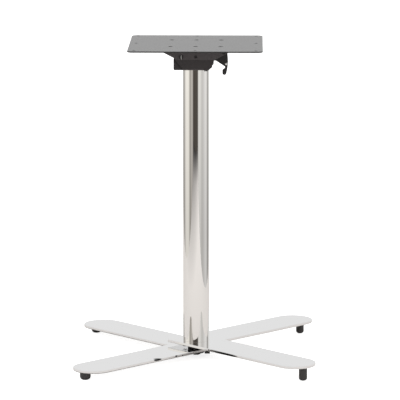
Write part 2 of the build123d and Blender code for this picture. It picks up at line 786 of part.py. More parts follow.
def spring_point(turns, overrun=0.0):
    """A point of the coil, or one that far along its tangent there."""
    angle = math.radians(start_angle + 360 * turns)
    return (
        latch_x + spring_radius * math.cos(angle) - overrun * math.sin(angle),
        spring_start_y + spring_pitch * turns,
        latch_z + spring_radius * math.sin(angle) + overrun * math.cos(angle),
    )


with BuildLine() as spring_path:
    Polyline(
        spring_point(0, -rivet_leg),
        *[spring_point(spring_turns * step / spring_steps) for step in range(spring_steps + 1)],
        spring_point(spring_turns, plate_leg),
    )
with BuildPart() as latch_spring:
    with BuildSketch(Plane(spring_path.wire() @ 0, z_dir=spring_path.wire() % 0)):
        RegularPolygon(spring_wire / 2, 8)
    sweep(path=spring_path.wire(), transition=Transition.RIGHT)
latch_spring.part.label = "latch_spring"
export_step(latch_spring.part, "parts/latch_spring.step")

# Sleeves on the cross pin that keep the lever and its spring in place
spring_end_y = spring_start_y + spring_pitch * spring_turns + spring_wire / 2
with BuildPart() as latch_sleeves:
    for sleeve_start, sleeve_end in (
        (-bracket_inner + sleeve_end_gap, lever_front - sleeve_end_gap),
        (spring_end_y + sleeve_spring_gap, bracket_inner - sleeve_end_gap),
    ):
        with BuildSketch(Plane.XZ.offset(-sleeve_start)):
            with Locations((latch_x, latch_z)):
                Circle(sleeve_diameter / 2)
                Circle(sleeve_diameter / 2 - sleeve_wall, mode=Mode.SUBTRACT)
        extrude(amount=sleeve_start - sleeve_end)
latch_sleeves.part.label = "latch_sleeves"
export_step(latch_sleeves.part, "parts/latch_sleeves.step")
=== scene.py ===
import json
import math

import bpy
import numpy as np
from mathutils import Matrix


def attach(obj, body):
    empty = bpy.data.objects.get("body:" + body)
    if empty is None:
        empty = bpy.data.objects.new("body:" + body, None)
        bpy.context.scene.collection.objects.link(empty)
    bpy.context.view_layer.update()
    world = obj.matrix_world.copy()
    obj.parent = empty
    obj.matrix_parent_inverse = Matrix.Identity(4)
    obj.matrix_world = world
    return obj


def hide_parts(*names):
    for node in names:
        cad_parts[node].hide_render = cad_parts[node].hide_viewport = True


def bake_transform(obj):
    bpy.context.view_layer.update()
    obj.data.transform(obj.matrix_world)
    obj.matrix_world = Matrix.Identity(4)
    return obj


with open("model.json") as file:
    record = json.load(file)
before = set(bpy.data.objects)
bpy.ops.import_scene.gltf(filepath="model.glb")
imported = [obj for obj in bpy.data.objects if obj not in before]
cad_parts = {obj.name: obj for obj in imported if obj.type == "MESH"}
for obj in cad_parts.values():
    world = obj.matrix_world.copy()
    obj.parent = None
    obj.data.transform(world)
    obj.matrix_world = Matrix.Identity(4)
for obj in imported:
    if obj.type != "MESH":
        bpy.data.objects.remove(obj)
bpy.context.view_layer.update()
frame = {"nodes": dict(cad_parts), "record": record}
nodes = frame["nodes"]

# Camera: the photograph's viewpoint, fitted to the outlines of the plate, arms, feet and column
CAMERA_PLACE = (0.1323, -6.8064, 1.5660)
CAMERA_TILT = 79.968
CAMERA_TURN = 1.040
CAMERA_REACH = 60.0
SENSOR_WIDTH = 36.0
FOCAL_LENGTH = 273.97

# Two soft lights that matt surfaces show and the polish doesn't
LIGHT_TARGET = (0.0, 0.0, 0.4)
LIGHT_SIZE = 1.6
KEY_PLACE = (-1.6, -2.2, 2.6)
KEY_POWER = 30.0
FILL_PLACE = (2.0, -1.6, 1.6)
FILL_POWER = 12.0

# Studio: a strip of white paper on the floor, with a darker room round it that only gloss shows
PAPER_LEFT = -1.20
PAPER_RIGHT = 0.81
PAPER_FRONT = -3.00
PAPER_BACK = 9.0
PAPER_COLOUR = (0.80, 0.80, 0.795)
PAPER_ROUGHNESS = 0.9
PAPER_GLOW = 0.80
PAPER_IN_POLISH = (0.824, 0.793, 0.772)
# Painted shade: in gloss the paper's tone falls to the front left. Its share of the colour under the
# column, the share's gain for each metre along X and Y, and the greatest share
PAPER_SHARE = 1.2525
PAPER_GAIN = (0.25, 0.27, 0.0)
PAPER_MOST = 0.965
# The painted shade deepens once more towards its front edge, as two (place along Y, share)
PAPER_FRONT_LOW = (-3.00, 0.15)
PAPER_FRONT_HIGH = (-2.35, 1.0)

# What the room looks like from the column, as (direction in degrees, colour): 0 is the camera's side
ROOM_BANDS = [
    (-180, (0.80, 0.80, 0.79)),
    (-150, (0.80, 0.80, 0.79)),
    (-142, (0.34, 0.33, 0.31)),
    (-124, (0.41, 0.39, 0.37)),
    (-98, (0.94, 0.91, 0.86)),
    (-69, (0.96, 0.93, 0.87)),
    (-53, (0.39, 0.37, 0.34)),
    (-47, (0.39, 0.37, 0.34)),
    (-41, (0.55, 0.52, 0.48)),
    (-31, (0.51, 0.48, 0.45)),
    (-23, (0.08, 0.07, 0.06)),
    (14, (0.09, 0.08, 0.07)),
    (21, (0.78, 0.77, 0.74)),
    (35, (0.82, 0.81, 0.79)),
    (53, (0.61, 0.60, 0.58)),
    (66, (0.67, 0.66, 0.65)),
    (90, (0.85, 0.84, 0.83)),
    (106, (0.76, 0.75, 0.74)),
    (114, (0.40, 0.39, 0.38)),
    (125, (0.33, 0.32, 0.31)),
    (133, (0.80, 0.80, 0.79)),
    (180, (0.80, 0.80, 0.79)),
]
# The room darkens downwards, as two (sine of the height angle, share of its colour)
ROOM_LOW = (-0.185, 0.76)
ROOM_EYE = (-0.134, 1.0)
# Overhead the room ends in a white ceiling, between two sines of the height angle
CEILING_START = 0.24
CEILING_END = 0.42
# The white backdrop stands behind the object, from this many degrees off the camera's side, and fades in
# above the horizon up to this sine of the height angle
BACKDROP_START = 140
BACKDROP_END = 156
BACKDROP_FOOT = 0.08
BACKDROP_GLOSS = (0.83, 0.83, 0.83)
DAYLIGHT = (0.82, 0.82, 0.82)
WHITE = (1.0, 1.0, 1.0)

# Ways along the axes, and the angle in degrees from which an edge of a turned shape is sharp
X_WAY, Y_WAY, Z_WAY = np.eye(3)
SHARP_ANGLE = 40

# Feet: quarter-ellipse soles, a low glide under the lower plate and a tall foot under the upper one
FOOT_PLACE = 0.24096
FOOT_STEPS = 72
SOLE_POINTS = 12
GLIDE = {"radius": 0.012, "sole": 0.0045, "rise": 0.008, "rim": 0.016, "neck": 0.0095, "top": 0.019}
TALL_FOOT = {"radius": 0.00925, "sole": 0.0025, "rise": 0.006, "rim": 0.030, "neck": 0.00925, "top": 0.0314}
FOOT_EDGE = 0.0005

# Column: tube from the upper leg plate to the housing, with a rounded rim
COLUMN_RADIUS = 0.030
COLUMN_FOOT = 0.0374
COLUMN_TOP = 0.664
COLUMN_RIM = 0.0003
COLUMN_STEPS = 192

# Latch: rivet through the lever, and the torsion spring round the cross pin
RIVET_PLACE = (0.068, 0.6783)
RIVET_HEAD_FRONT = -0.0365
RIVET_HEAD_BACK = -0.0350
RIVET_TAIL_END = -0.0235
RIVET_RADIUS = 0.0020
RIVET_HEAD_RADIUS = 0.0030
RIVET_RIM = 0.0004
SPRING_PLACE = (0.063, 0.705)
SPRING_RADIUS = 0.0052
SPRING_WIRE = 0.0014
SPRING_START = -0.0242
SPRING_PITCH = 0.0017
SPRING_WHOLE_TURNS = 5
SPRING_STEPS = 40
SPRING_LEG_STEPS = 12
SPRING_WIRE_STEPS = 12
SPRING_RIVET_REACH = 0.00775
SPRING_PLATE_REACH = 0.015
SPRING_PLATE_GAP = 0.0007
PLATE_BOTTOM = 0.717

# Polish: the colours, the stretch of the wipe streaks, and the least and greatest roughness
LEG_POLISH = ((0.87, 0.87, 0.87), (3, 3, 1), 0.015, 0.06)
COLUMN_POLISH = ((0.90, 0.89, 0.87), (9, 9, 0.7), 0.02, 0.055)
# The streaks come from noise of this scale. Up to the first value of it the polish is clean, and from the
# second on it is smeared
SMUDGE_SCALE = 7.0
SMUDGE_CLEAN = 0.35
SMUDGE_FULL = 0.75

# Coats, as colour, roughness, scale of the grain and height of the grain
COATS = {
    "plate_coat": ((0.034, 0.033, 0.033), 0.235, 700.0, 0.06),
    "bracket_coat": ((0.086, 0.075, 0.076), 0.46, 900.0, 0.20),
    "lever_coat": ((0.022, 0.021, 0.021), 0.38, 900.0, 0.12),
    "black_oxide": ((0.020, 0.019, 0.019), 0.40, 900.0, 0.10),
    "foot_plastic": ((0.036, 0.034, 0.034), 0.50, 1400.0, 0.25),
    "pad_rubber": ((0.020, 0.020, 0.020), 0.75, 1200.0, 0.30),
    "cast_iron": ((0.030, 0.029, 0.028), 0.60, 450.0, 0.50),
}
# The head housing's coat: a darker copy of the bracket's coat, as painted shade on the housing under the
# tilt bracket
HOUSING_COAT_IN_PAINTED_SHADE = ((0.044, 0.037, 0.038), 0.46, 900.0, 0.20)
# Plated steels, with the same four values
STEELS = {
    "zinc_steel": ((0.66, 0.66, 0.63), 0.26, 500.0, 0.08),
    "bright_rivet": ((0.84, 0.84, 0.83), 0.42, 500.0, 0.05),
}
# How far a coat's colour varies either way, as a share of it
COAT_SHIFT = 0.35
HOUSING_SHIFT = 0.30
# How deep the bumps of a grain of full height are
GRAIN_DEPTH = 0.0004

# Edge shade line: painted shade along the foot of a leg plate's edge, as a painted reflection of the shaded
# floor under the plate, where the roughness is also raised. Its top is wavy, as it fades between two sums
# of noise and the height as a share of its depth. It also fades where a face leans, between two upward
# parts of the normal
LOWER_LEG_BOTTOM = 0.0190
UPPER_LEG_BOTTOM = 0.0314
EDGE_SHADE_DEPTH = 0.0017
EDGE_SHADE_SCALE = 160.0
EDGE_SHADE_FULL = 1.2
EDGE_SHADE_END = 1.6
EDGE_SHADE_UPRIGHT = 0.75
EDGE_SHADE_SLANTED = 0.90
EDGE_SHADE_DULLNESS = 0.25
LOWER_EDGE_SHADE_COLOUR = (0.36, 0.35, 0.34)
UPPER_EDGE_SHADE_COLOUR = (0.74, 0.73, 0.72)

# Dark marks on the front edges of the two leg plates, as (place, size). The upper plate's long mark is a
# painted reflection of the shade under the lower plate. Noise makes them ragged, and each fades between two
# shares of its size
LOWER_DARK_MARKS = [
    ((-0.0830, -0.1480, 0.0237), (0.0120, 0.0120, 0.0023)),
    ((-0.0428, -0.1080, 0.0230), (0.0034, 0.0034, 0.0020)),
    ((-0.0288, -0.0940, 0.0212), (0.0026, 0.0026, 0.0014)),
    ((-0.2190, -0.2840, 0.0208), (0.0080, 0.0080, 0.0012)),
]
# Painted reflection: the shade under the lower plate, as a dark streak on the upper plate's front edge
UPPER_PAINTED_REFLECTION = [((0.0685, -0.1335, 0.0340), (0.0420, 0.0420, 0.0024))]
DARK_MARK_COLOUR = (0.02, 0.02, 0.02)
DARK_MARK_FULL = 0.85
DARK_MARK_END = 1.05
DARK_MARK_SCALE = 420.0
DARK_MARK_RAGGED = 0.6
DARK_MARK_DULLNESS = 0.3

# Housing: the cheeks stand proud of the gussets, and end on the left in a slanted edge
GUSSET_FACE = 0.0392
CHEEK_CORNER = (-0.027, 0.0, 0.664)
CHEEK_SLANT = (-0.763, 0.0, -0.646)
CHEEK_EDGE = 0.0005
# Painted shade in the step beside that edge: its colour, its width, and the share of it that is left beyond
CHEEK_PAINTED_SHADE = (0.006, 0.006, 0.006)
CHEEK_PAINTED_SHADE_WIDTH = 0.005
CHEEK_PAINTED_SHADE_LEFT = 0.15

# Hinge pin: a painted highlight, a bright strip down the middle of its head, with a soft edge as a share of
# the half width
PIN_BLACK = (0.020, 0.019, 0.019)
PIN_HIGHLIGHT_COLOUR = (0.62, 0.61, 0.59)
PIN_ROUGHNESS = 0.40
PIN_HIGHLIGHT_PLACE = -0.0325
PIN_HIGHLIGHT_HALF_WIDTH = 0.0007
PIN_HIGHLIGHT_SOFTNESS = 0.3

FLOAT = "NodeSocketFloat"
VECTOR = "NodeSocketVector"


def skin(name, rings, start, finish):
    """A closed surface through rings of points, given as an array (ring, step, 3), with a pole at each end.
    Face (i, j) joins steps j and j+1 of rings i and i+1."""
    count, steps = rings.shape[:2]
    points = np.concatenate([rings.reshape(-1, 3), [start, finish]])
    grid = np.arange(count * steps).reshape(count, steps)
    after = np.roll(grid, -1, axis=1)
    quads = np.stack([grid[:-1], after[:-1], after[1:], grid[1:]], axis=-1).reshape(-1, 4)
    pole = np.full(steps, count * steps)
    bottom = np.stack([pole, after[0], grid[0]], axis=-1)
    top = np.stack([pole + 1, grid[-1], after[-1]], axis=-1)
    mesh = bpy.data.meshes.new(name)
    mesh.from_pydata(points.tolist(), [], quads.tolist() + bottom.tolist() + top.tolist())
    mesh.polygons.foreach_set("use_smooth", np.ones(len(mesh.polygons), dtype=bool))
    mesh.set_sharp_from_angle(angle=math.radians(SHARP_ANGLE))
    piece = bpy.data.objects.new(name, mesh)
    bpy.context.scene.collection.objects.link(piece)
    return piece


def turned(name, radii, rises, place, across, along, axis, steps):
    """A turned shape: place + r_i (cos a across + sin a along) + h_i axis, for a = 0 to 2 pi."""
    angles = np.linspace(0.0, 2 * math.pi, steps, endpoint=False)
    round_way = np.cos(angles)[:, None] * across + np.sin(angles)[:, None] * along
    rises = np.asarray(rises)[:, None] * axis
    rings = place + np.asarray(radii)[:, None, None] * round_way + rises[:, None, :]
    return skin(name, rings, place + rises[0], place + rises[-1])


def wire_along(name, path, radius, side, steps):
    """A round wire: p_i + radius (cos a side_i + sin a t_i x side_i), with t_i the path's direction and
    side_i the given side made square to it."""
    direction = np.gradient(path, axis=0)
    direction /= np.linalg.norm(direction, axis=1, keepdims=True)
    square = side - (direction @ side)[:, None] * direction
    square /= np.linalg.norm(square, axis=1, keepdims=True)
    third = np.cross(direction, square)
    angles = np.linspace(0.0, 2 * math.pi, steps, endpoint=False)
    cosines, sines = np.cos(angles)[:, None], np.sin(angles)[:, None]
    round_way = cosines * square[:, None] + sines * third[:, None]
    return skin(name, path[:, None] + radius * round_way, path[0], path[-1])


def finish_piece(piece, material, node):
    """The piece takes its material and stands for the CAD node."""
    piece.data.materials.append(material)
    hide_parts(node)


def make_feet(materials):
    """Four moulded feet. Sole: r = sole + (radius - sole) sin u, h = rise (1 - cos u), for u = 0 to pi / 2;
    then straight up to the rim, in to the neck, and up to the plate."""
    sweep = np.linspace(0.0, math.pi / 2, SOLE_POINTS)
    for hand, side, foot, body in (("left", -1, GLIDE, "rocking_leg"), ("right", 1, TALL_FOOT, "base")):
        sole_radii = foot["sole"] + (foot["radius"] - foot["sole"]) * np.sin(sweep)
        sole_rises = foot["rise"] * (1 - np.cos(sweep))
        radii = [*sole_radii, foot["radius"], foot["radius"] - FOOT_EDGE, foot["neck"], foot["neck"]]
        rises = [*sole_rises, foot["rim"] - FOOT_EDGE, foot["rim"], foot["rim"] + FOOT_EDGE, foot["top"]]
        for end, way in (("front", -1), ("rear", 1)):
            name = f"moulded_foot_{hand}_{end}"
            place = np.array([side * FOOT_PLACE, way * FOOT_PLACE, 0.0])
            piece = turned(name, radii, rises, place, X_WAY, Y_WAY, Z_WAY, FOOT_STEPS)
            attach(piece, body)
            finish_piece(piece, materials["foot_plastic"], f"foot_{hand}_{end}")


def make_column(materials):
    """The polished tube as a true cylinder, closed by its ends inside the joints."""
    radii = [COLUMN_RADIUS - COLUMN_RIM, COLUMN_RADIUS, COLUMN_RADIUS, COLUMN_RADIUS - COLUMN_RIM]
    rises = [COLUMN_FOOT, COLUMN_FOOT + COLUMN_RIM, COLUMN_TOP - COLUMN_RIM, COLUMN_TOP]
    piece = turned("polished_tube", radii, rises, np.zeros(3), X_WAY, Y_WAY, Z_WAY, COLUMN_STEPS)
    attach(piece, "base")
    finish_piece(piece, materials["polished_column"], "column_tube")


def make_rivet(materials):
    """The lever's rivet, turned on a line along Y. Head: r = head radius cos u and
    h = rim + (head height - rim) sin u, for u = 0 to just under pi / 2."""
    sweep = np.linspace(0.0, math.pi / 2, SOLE_POINTS)[:-1]
    head_height = RIVET_HEAD_BACK - RIVET_HEAD_FRONT
    head_radii = RIVET_HEAD_RADIUS * np.cos(sweep)
    head_rises = -RIVET_HEAD_BACK + RIVET_RIM + (head_height - RIVET_RIM) * np.sin(sweep)
    radii = [RIVET_RADIUS - RIVET_RIM, RIVET_RADIUS, RIVET_RADIUS, RIVET_HEAD_RADIUS, *head_radii]
    rises = [-RIVET_TAIL_END, -RIVET_TAIL_END + RIVET_RIM, -RIVET_HEAD_BACK, -RIVET_HEAD_BACK, *head_rises]
    place = np.array([RIVET_PLACE[0], 0.0, RIVET_PLACE[1]])
    piece = turned("domed_rivet", radii, rises, place, X_WAY, Z_WAY, -Y_WAY, FOOT_STEPS)
    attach(piece, "latch")
    finish_piece(piece, materials["bright_rivet"], "latch_rivet")


def make_spring(materials):
    """The torsion spring: centre + R (cos a, sin a) in XZ with y = start + pitch a / 2 pi, and at each end
    a straight leg along the tangent, one to the rivet and one to the plate."""
    centre_x, centre_z = SPRING_PLACE
    rivet_rise = RIVET_PLACE[1] - centre_z
    plate_rise = PLATE_BOTTOM - SPRING_PLATE_GAP - centre_z
    rivet_span = math.hypot(SPRING_RIVET_REACH, rivet_rise)
    plate_span = math.hypot(SPRING_PLATE_REACH, plate_rise)
    rivet_angle = math.atan2(rivet_rise, SPRING_RIVET_REACH)
    plate_angle = math.atan2(plate_rise, SPRING_PLATE_REACH)
    start = math.pi / 2 + rivet_angle - math.asin(SPRING_RADIUS / rivet_span)
    end = -math.pi / 2 + plate_angle + math.asin(SPRING_RADIUS / plate_span)
    turns = SPRING_WHOLE_TURNS + (end - start) / (2 * math.pi)
    angles = np.linspace(start, start + 2 * math.pi * turns, round(turns * SPRING_STEPS))
    across = centre_x + SPRING_RADIUS * np.cos(angles)
    along = SPRING_START + SPRING_PITCH * (angles - start) / (2 * math.pi)
    rise = centre_z + SPRING_RADIUS * np.sin(angles)
    coil = np.stack([across, along, rise], axis=1)
    tangents = np.stack([-np.sin(angles), np.zeros_like(angles), np.cos(angles)], axis=1)
    rivet_leg = math.sqrt(rivet_span**2 - SPRING_RADIUS**2)
    plate_leg = math.sqrt(plate_span**2 - SPRING_RADIUS**2)
    before = np.linspace(rivet_leg, 0.0, SPRING_LEG_STEPS, endpoint=False)[:, None]
    beyond = np.linspace(0.0, plate_leg, SPRING_LEG_STEPS)[1:, None]
    path = np.concatenate([coil[0] - before * tangents[0], coil, coil[-1] + beyond * tangents[-1]])
    piece = wire_along("round_wire_spring", path, SPRING_WIRE / 2, Y_WAY, SPRING_WIRE_STEPS)
    finish_piece(piece, materials["zinc_steel"], "latch_spring")
    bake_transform(piece)


def feed(tree, socket, value):
    """The input takes another node's output, or a constant."""
    if isinstance(value, bpy.types.NodeSocket):
        tree.links.new(value, socket)
    else:
        socket.default_value = value


def add_node(tree, kind, **values):
    """A node of the kind given, with its named properties set and its named inputs fed."""
    node = tree.nodes.new(kind)
    for key, value in values.items():
        if key in node.inputs:
            feed(tree, node.inputs[key], value)
        else:
            setattr(node, key, value)
    return node


def calculate(tree, operation, *values):
    """The result of a Math node on constants or outputs."""
    node = add_node(tree, "ShaderNodeMath", operation=operation)
    for socket, value in zip(node.inputs, values):
        feed(tree, socket, value)
    return node.outputs["Value"]


def calculate_vector(tree, operation, *values, result="Vector"):
    """The result of a Vector Math node on constants or outputs."""
    node = add_node(tree, "ShaderNodeVectorMath", operation=operation)
    for socket, value in zip(node.inputs, values):
        feed(tree, socket, value)
    return node.outputs[result]


def scale_vector(tree, vector, share):
    """The vector or colour times the share."""
    return add_node(tree, "ShaderNodeVectorMath", operation="SCALE", Vector=vector, Scale=share).outputs[0]


def add_noise(tree, place, scale, **values):
    """The value, from 0 to 1, of a noise texture at the place."""
    return add_node(tree, "ShaderNodeTexNoise", Vector=place, Scale=scale, **values).outputs["Fac"]


def map_range(tree, source, low, high):
    """The source mapped between two (value, result) ends, and held at them."""
    ends = {"From Min": low[0], "To Min": low[1], "From Max": high[0], "To Max": high[1]}
    return add_node(tree, "ShaderNodeMapRange", Value=source, **ends).outputs["Result"]


def mix_colour(tree, mask, first, second):
    """A colour that goes from the first, a colour or an output, to the second by the mask."""
    first, second = [(*value, 1.0) if isinstance(value, tuple) else value for value in (first, second)]
    node = add_node(tree, "ShaderNodeMix", data_type="RGBA", Factor=mask, A=first, B=second)
    return node.outputs["Result"]


def mix_shaders(tree, mask, first, second):
    """The first shader where the mask is 0 and the second where it is 1."""
    node = add_node(tree, "ShaderNodeMixShader", Fac=mask)
    feed(tree, node.inputs[1], first)
    feed(tree, node.inputs[2], second)
    return node.outputs["Shader"]


def coordinates(tree, kind="Object"):
    """The texture coordinates of the kind given, whole and as its X, Y and Z."""
    whole = tree.nodes.new("ShaderNodeTexCoord").outputs[kind]
    return whole, add_node(tree, "ShaderNodeSeparateXYZ", Vector=whole).outputs


def new_group(name, inputs, outputs):
    """A shader node group with the named sockets; returns it with what comes in and what goes out."""
    group = bpy.data.node_groups.new(name, "ShaderNodeTree")
    for socket_name, kind in inputs.items():
        group.interface.new_socket(socket_name, in_out="INPUT", socket_type=kind)
    for socket_name, kind in outputs.items():
        group.interface.new_socket(socket_name, in_out="OUTPUT", socket_type=kind)
    return group, group.nodes.new("NodeGroupInput").outputs, group.nodes.new("NodeGroupOutput").inputs


def grain_group():
    """Fine mottling: noise as a mask from 0 to 1 and as a bumped normal."""
    group, given, result = new_group(
        "grain", {"Vector": VECTOR, "Scale": FLOAT, "Height": FLOAT}, {"Mask": FLOAT, "Normal": VECTOR}
    )
    noise = add_noise(group, given["Vector"], given["Scale"], Detail=3.0, Roughness=0.6)
    bump = add_node(group, "ShaderNodeBump", Height=noise, Strength=given["Height"], Distance=GRAIN_DEPTH)
    feed(group, result["Mask"], noise)
    feed(group, result["Normal"], bump.outputs["Normal"])
    return group


def smudge_group():
    """Wipe marks on polished metal: stretched noise lifts the roughness from Low to High in streaks."""
    group, given, result = new_group(
        "smudge", {"Vector": VECTOR, "Stretch": VECTOR, "Low": FLOAT, "High": FLOAT}, {"Roughness": FLOAT}
    )
    stretched = calculate_vector(group, "MULTIPLY", given["Vector"], given["Stretch"])
    noise = add_noise(group, stretched, SMUDGE_SCALE, Detail=4.0, Roughness=0.55)
    clean, smeared = (SMUDGE_CLEAN, given["Low"]), (SMUDGE_FULL, given["High"])
    feed(group, result["Roughness"], map_range(group, noise, clean, smeared))
    return group


def dark_mark_group():
    """A ragged mark: 1 up to about Size from its Place, with noise in the distance, and 0 beyond."""
    group, given, result = new_group(
        "dark_mark", {"Vector": VECTOR, "Place": VECTOR, "Size": VECTOR, "Ragged": FLOAT}, {"Mask": FLOAT}
    )
    offset = calculate_vector(group, "SUBTRACT", given["Vector"], given["Place"])
    share = calculate_vector(group, "DIVIDE", offset, given["Size"])
    length = calculate_vector(group, "LENGTH", share, result="Value")
    noise = add_noise(group, given["Vector"], DARK_MARK_SCALE, Detail=3.0)
    centred = calculate(group, "SUBTRACT", noise, 0.5)
    ragged = calculate(group, "MULTIPLY_ADD", centred, given["Ragged"], length)
    feed(group, result["Mask"], map_range(group, ragged, (DARK_MARK_FULL, 1.0), (DARK_MARK_END, 0.0)))
    return group


def edge_shade_line_group():
    """Painted shade along the foot of a plate's edge: 1 up to about Depth above Bottom."""
    group, given, result = new_group(
        "edge_shade_line", {"Vector": VECTOR, "Bottom": FLOAT, "Depth": FLOAT}, {"Mask": FLOAT}
    )
    height = add_node(group, "ShaderNodeSeparateXYZ", Vector=given["Vector"]).outputs["Z"]
    above = calculate(group, "SUBTRACT", height, given["Bottom"])
    share = calculate(group, "DIVIDE", above, given["Depth"])
    wavy = calculate(group, "ADD", share, add_noise(group, given["Vector"], EDGE_SHADE_SCALE, Detail=2.0))
    feed(group, result["Mask"], map_range(group, wavy, (EDGE_SHADE_FULL, 1.0), (EDGE_SHADE_END, 0.0)))
    return group


GRAIN = grain_group()
SMUDGE = smudge_group()
DARK_MARK = dark_mark_group()
EDGE_SHADE_LINE = edge_shade_line_group()


def place_group(tree, group, **values):
    """The outputs of the group as a node of the tree, reading Object coordinates, with its inputs set."""
    place = tree.nodes.new("ShaderNodeTexCoord").outputs["Object"]
    return add_node(tree, "ShaderNodeGroup", node_tree=group, Vector=place, **values).outputs


def new_material(name, colour, metallic, roughness):
    """A material with one Principled shader; returns the material, its node tree and that shader."""
    material = bpy.data.materials.new(name)
    material.use_nodes = True
    tree = material.node_tree
    shader = tree.nodes["Principled BSDF"]
    shader.inputs["Base Color"].default_value = (*colour, 1.0)
    shader.inputs["Metallic"].default_value = metallic
    shader.inputs["Roughness"].default_value = roughness
    return material, tree, shader


def polished_metal(name, colour, stretch, low, high):
    """Mirror polished steel with faint wipe streaks."""
    material, tree, shader = new_material(name, colour, 1.0, low)
    smudge = place_group(tree, SMUDGE, Stretch=stretch, Low=low, High=high)
    feed(tree, shader.inputs["Roughness"], smudge["Roughness"])
    return material


def leg_plate_metal(name, bottom, edge_shade_colour, dark_marks):
    """The mirror polish of a leg plate, with painted shade along the foot of its edge and any dark marks
    given.
    """
    colour, stretch, low, high = LEG_POLISH
    material, tree, shader = new_material(name, colour, 1.0, low)
    roughness = place_group(tree, SMUDGE, Stretch=stretch, Low=low, High=high)["Roughness"]
    edge_shade = place_group(tree, EDGE_SHADE_LINE, Bottom=bottom, Depth=EDGE_SHADE_DEPTH)["Mask"]
    _, normal = coordinates(tree, "Normal")
    slant = calculate(tree, "ABSOLUTE", normal["Z"])
    line = calculate(tree, "MULTIPLY", edge_shade, map_range(tree, slant, (EDGE_SHADE_UPRIGHT, 1.0), (EDGE_SHADE_SLANTED, 0.0)))
    # Painted shade: the foot of the edge darkens towards the given shade colour
    tone = mix_colour(tree, line, colour, edge_shade_colour)
    roughness = calculate(tree, "MULTIPLY_ADD", line, EDGE_SHADE_DULLNESS, roughness)
    # Dark marks on the edge; the upper plate's one is a painted reflection of the shade under the lower
    # plate
    for place, size in dark_marks:
        mark = place_group(tree, DARK_MARK, Place=place, Size=size, Ragged=DARK_MARK_RAGGED)["Mask"]
        tone = mix_colour(tree, mark, tone, DARK_MARK_COLOUR)
        roughness = calculate(tree, "MULTIPLY_ADD", mark, DARK_MARK_DULLNESS, roughness)
    feed(tree, shader.inputs["Base Color"], tone)
    feed(tree, shader.inputs["Roughness"], roughness)
    return material


def pin_with_painted_highlight(name):
    """A black pin with a painted highlight: a bright strip down the middle of its head."""
    material, tree, shader = new_material(name, PIN_BLACK, 0.0, PIN_ROUGHNESS)
    _, axes = coordinates(tree)
    away = calculate(tree, "ABSOLUTE", calculate(tree, "SUBTRACT", axes["X"], PIN_HIGHLIGHT_PLACE))
    inner = (1 - PIN_HIGHLIGHT_SOFTNESS) * PIN_HIGHLIGHT_HALF_WIDTH
    outer = (1 + PIN_HIGHLIGHT_SOFTNESS) * PIN_HIGHLIGHT_HALF_WIDTH
    # Painted highlight: the strip's bright colour stands in for the glint on the head
    strip = map_range(tree, away, (inner, 1.0), (outer, 0.0))
    feed(tree, shader.inputs["Base Color"], mix_colour(tree, strip, PIN_BLACK, PIN_HIGHLIGHT_COLOUR))
    return material


def grained(tree, shader, colour, shift, scale, height):
    """The grain of a coat: bumps the shader, and returns the colour varied by the shift either way."""
    grain = place_group(tree, GRAIN, Scale=scale, Height=height)
    feed(tree, shader.inputs["Normal"], grain["Normal"])
    darker = tuple(c * (1 - shift) for c in colour)
    lighter = tuple(c * (1 + shift) for c in colour)
    return mix_colour(tree, grain["Mask"], darker, lighter)


def coated_metal(name, colour, roughness, scale, height):
    """Powder coat: a dark colour that varies a little, with an orange peel bump."""
    material, tree, shader = new_material(name, colour, 0.0, roughness)
    tone = grained(tree, shader, colour, COAT_SHIFT, scale, height)
    feed(tree, shader.inputs["Base Color"], tone)
    return material


def housing_coat_with_painted_shade(name, colour, roughness, scale, height):
    """The head's coat: a darker copy of the bracket's coat as painted shade, and more painted shade in the
    step between each cheek's slanted edge and the gusset behind it.
    """
    material, tree, shader = new_material(name, colour, 0.0, roughness)
    coat = grained(tree, shader, colour, HOUSING_SHIFT, scale, height)
    place, axes = coordinates(tree)
    depth = calculate(tree, "ABSOLUTE", axes["Y"])
    inside = map_range(tree, depth, (GUSSET_FACE, 1.0), (GUSSET_FACE + CHEEK_EDGE, 0.0))
    offset = calculate_vector(tree, "SUBTRACT", place, CHEEK_CORNER)
    beyond = calculate_vector(tree, "DOT_PRODUCT", offset, CHEEK_SLANT, result="Value")
    near = map_range(tree, beyond, (0.0, 1.0), (CHEEK_PAINTED_SHADE_WIDTH, CHEEK_PAINTED_SHADE_LEFT))
    outside = calculate(tree, "GREATER_THAN", beyond, -CHEEK_EDGE)
    # Painted shade: the gusset darkens beside the cheek's slanted edge
    shade = calculate(tree, "MULTIPLY", inside, calculate(tree, "MULTIPLY", near, outside))
    feed(tree, shader.inputs["Base Color"], mix_colour(tree, shade, coat, CHEEK_PAINTED_SHADE))
    return material


def rough_metal(name, colour, roughness, scale, height):
    """Plated or machined steel with a fine grain."""
    material, tree, shader = new_material(name, colour, 1.0, roughness)
    grain = place_group(tree, GRAIN, Scale=scale, Height=height)
    feed(tree, shader.inputs["Normal"], grain["Normal"])
    return material


def make_materials():
    """The materials by name: one for a slot of the record, or for a node that differs from its slot."""
    materials = {
        "polished_column": polished_metal("polished_column", *COLUMN_POLISH),
        "leg_plate_lower": leg_plate_metal(
            "leg_plate_lower", LOWER_LEG_BOTTOM, LOWER_EDGE_SHADE_COLOUR, LOWER_DARK_MARKS
        ),
        "leg_plate_upper": leg_plate_metal(
            "leg_plate_upper", UPPER_LEG_BOTTOM, UPPER_EDGE_SHADE_COLOUR, UPPER_PAINTED_REFLECTION
        ),
        "hinge_pin": pin_with_painted_highlight("hinge_pin"),
        "housing_coat": housing_coat_with_painted_shade("housing_coat", *HOUSING_COAT_IN_PAINTED_SHADE),
    }
    for name, values in COATS.items():
        materials[name] = coated_metal(name, *values)
    for name, values in STEELS.items():
        materials[name] = rough_metal(name, *values)
    return materials


def dress_nodes(materials):
    """Every CAD node takes the material made for it, or that of its slot in the record."""
    for row in frame["record"]["subparts"]:
        node = nodes[row["node"]]
        node.data.materials.clear()
        node.data.materials.append(materials.get(row["node"]) or materials[row["material_slot"]])


